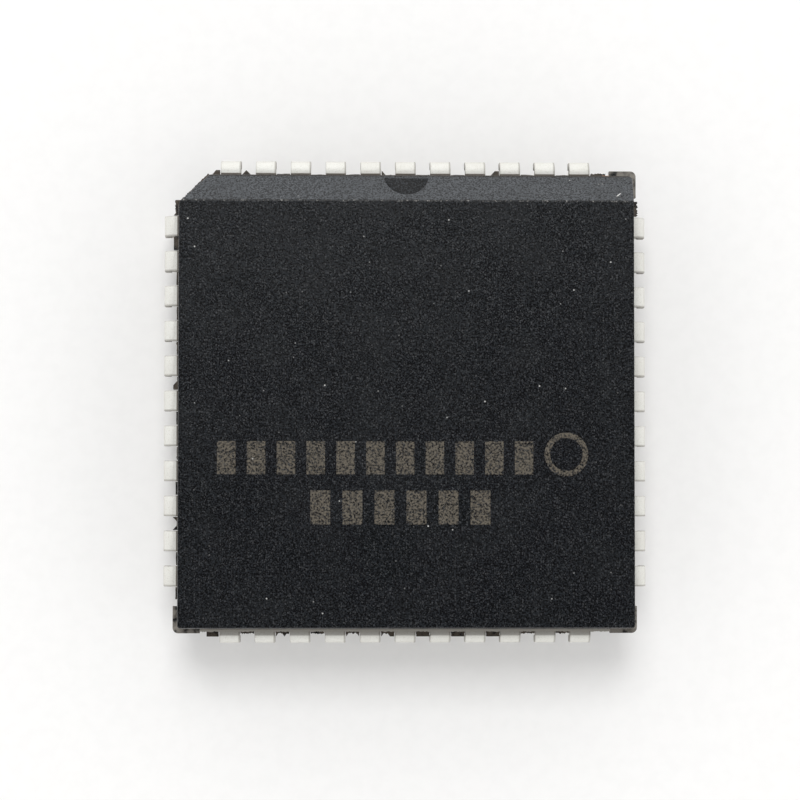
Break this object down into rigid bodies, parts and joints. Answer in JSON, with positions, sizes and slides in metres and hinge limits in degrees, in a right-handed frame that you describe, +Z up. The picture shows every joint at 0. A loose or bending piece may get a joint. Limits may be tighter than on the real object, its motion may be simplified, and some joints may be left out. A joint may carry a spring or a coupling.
{
  "type": "plcc chip",
  "caption": "Square black moulded chip carrier with J-shaped leads on all four sides, a bevelled first side, a half-round notch and one cut corner.",
  "frame": {"origin": "centre of the seating plane, which the undersides of the J-leads touch", "axes": "+Z up, out of the marked face; +Y towards the bevelled side with the first lead; the cut corner is at -X, +Y"},
  "size_m": [0.0176, 0.0176, 0.0044],
  "materials": {
    "moulding": "matte",
    "tinned_lead": "satin",
    "die_pad": "satin",
    "die_attach": "satin",
    "silicon_die": "polished",
    "bond_wires": "polished"
  },
  "bodies": {
    "root": {"package_body": "moulding", "die_pad": "die_pad", "die_attach": "die_attach", "silicon_die": "silicon_die", "bond_wires": "bond_wires", "lead_01": "tinned_lead", "lead_02": "tinned_lead", "lead_03": "tinned_lead", "lead_04": "tinned_lead", "lead_05": "tinned_lead", "lead_06": "tinned_lead", "lead_07": "tinned_lead", "lead_08": "tinned_lead", "lead_09": "tinned_lead", "lead_10": "tinned_lead", "lead_11": "tinned_lead", "lead_12": "tinned_lead", "lead_13": "tinned_lead", "lead_14": "tinned_lead", "lead_15": "tinned_lead", "lead_16": "tinned_lead", "lead_17": "tinned_lead", "lead_18": "tinned_lead", "lead_19": "tinned_lead", "lead_20": "tinned_lead", "lead_21": "tinned_lead", "lead_22": "tinned_lead", "lead_23": "tinned_lead", "lead_24": "tinned_lead", "lead_25": "tinned_lead", "lead_26": "tinned_lead", "lead_27": "tinned_lead", "lead_28": "tinned_lead", "lead_29": "tinned_lead", "lead_30": "tinned_lead", "lead_31": "tinned_lead", "lead_32": "tinned_lead", "lead_33": "tinned_lead", "lead_34": "tinned_lead", "lead_35": "tinned_lead", "lead_36": "tinned_lead", "lead_37": "tinned_lead", "lead_38": "tinned_lead", "lead_39": "tinned_lead", "lead_40": "tinned_lead", "lead_41": "tinned_lead", "lead_42": "tinned_lead", "lead_43": "tinned_lead", "lead_44": "tinned_lead"}
  },
  "joints": []
}
